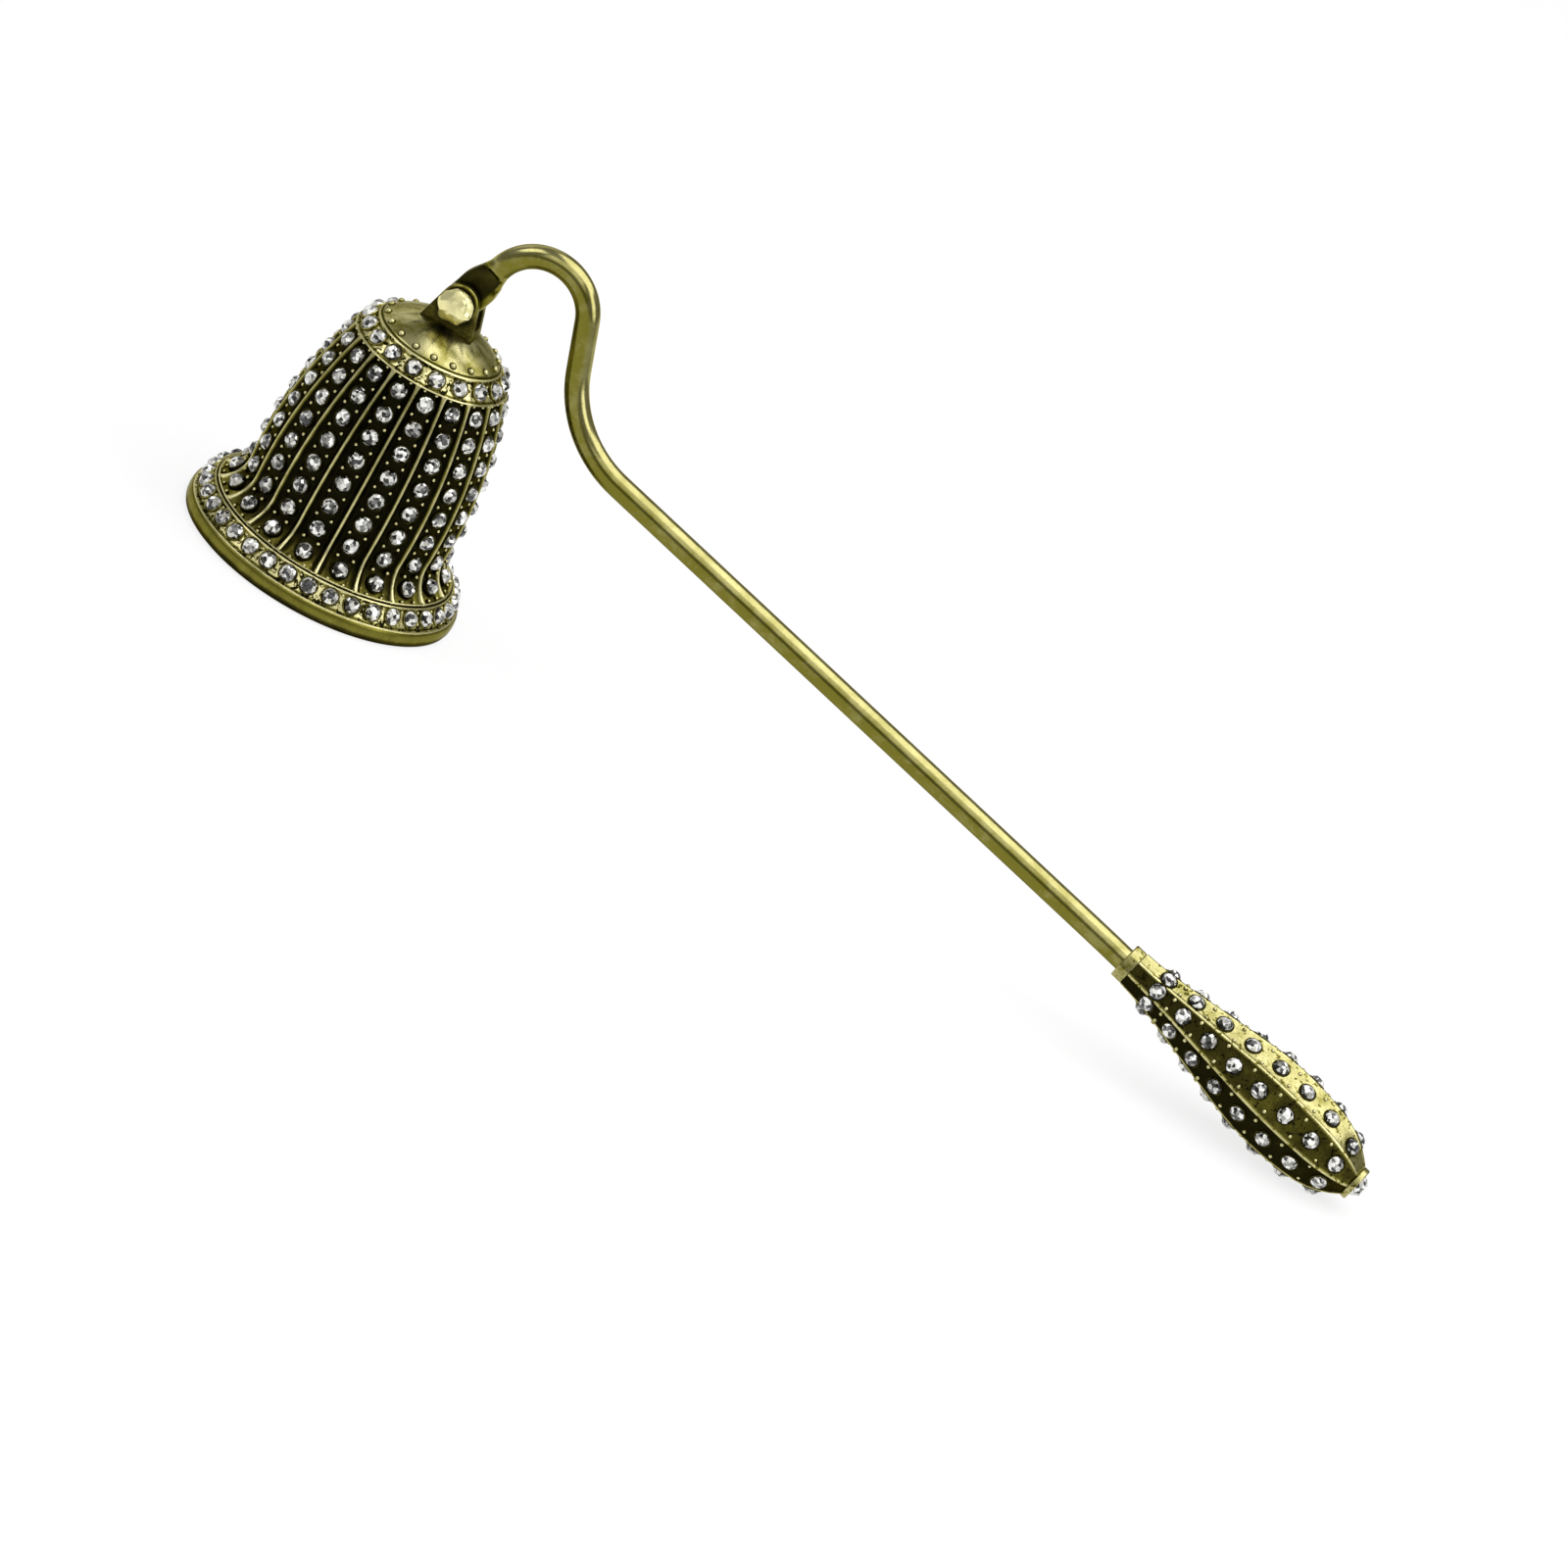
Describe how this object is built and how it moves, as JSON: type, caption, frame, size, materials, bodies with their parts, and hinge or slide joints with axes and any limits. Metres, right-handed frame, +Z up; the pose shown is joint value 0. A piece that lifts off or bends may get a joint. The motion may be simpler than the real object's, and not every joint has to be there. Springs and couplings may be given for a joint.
{
  "type": "candle snuffer",
  "caption": "Bell-shaped candle snuffer with a ribbed, stone-set bell hinged to a gooseneck rod that ends in an eight-sided, stone-set handle.",
  "frame": {"origin": "centre of the bell's mouth, on the plane of its rim", "axes": "+Z up the bell, +X from the bell towards the handle, +Y along the hinge pin, away from its round head"},
  "size_m": [0.2285, 0.05, 0.0699],
  "materials": {
    "antique_brass": "antiqued, brushed satin, dark in the recesses",
    "clear_stone": "faceted, foil-backed, clear"
  },
  "bodies": {
    "rod": {"gooseneck_rod": "antique_brass", "handle_collar": "antique_brass", "handle_body": "antique_brass", "handle_end_cap": "antique_brass", "handle_end_stone": "clear_stone", "handle_stones_row_1": "clear_stone", "handle_stones_row_2": "clear_stone", "handle_stones_row_3": "clear_stone", "handle_stones_row_4": "clear_stone", "handle_stones_row_5": "clear_stone", "handle_stones_row_6": "clear_stone", "handle_stones_row_7": "clear_stone", "handle_stones_row_8": "clear_stone"},
    "bell": {"bell_shell": "antique_brass", "hinge_clevis": "antique_brass", "hinge_pin": "antique_brass", "upper_band_stones": "clear_stone", "lower_band_stones": "clear_stone", "panel_stones_row_1": "clear_stone", "panel_stones_row_2": "clear_stone", "panel_stones_row_3": "clear_stone", "panel_stones_row_4": "clear_stone", "panel_stones_row_5": "clear_stone", "panel_stones_row_6": "clear_stone", "panel_stones_row_7": "clear_stone", "panel_stones_row_8": "clear_stone"}
  },
  "joints": [
    {"name": "bell_swing", "type": "hinge", "parent": "rod", "child": "bell", "pos_m": [0, 0, 0.0534], "axis": [0, 1, 0], "range_deg": [-31, 107]}
  ]
}
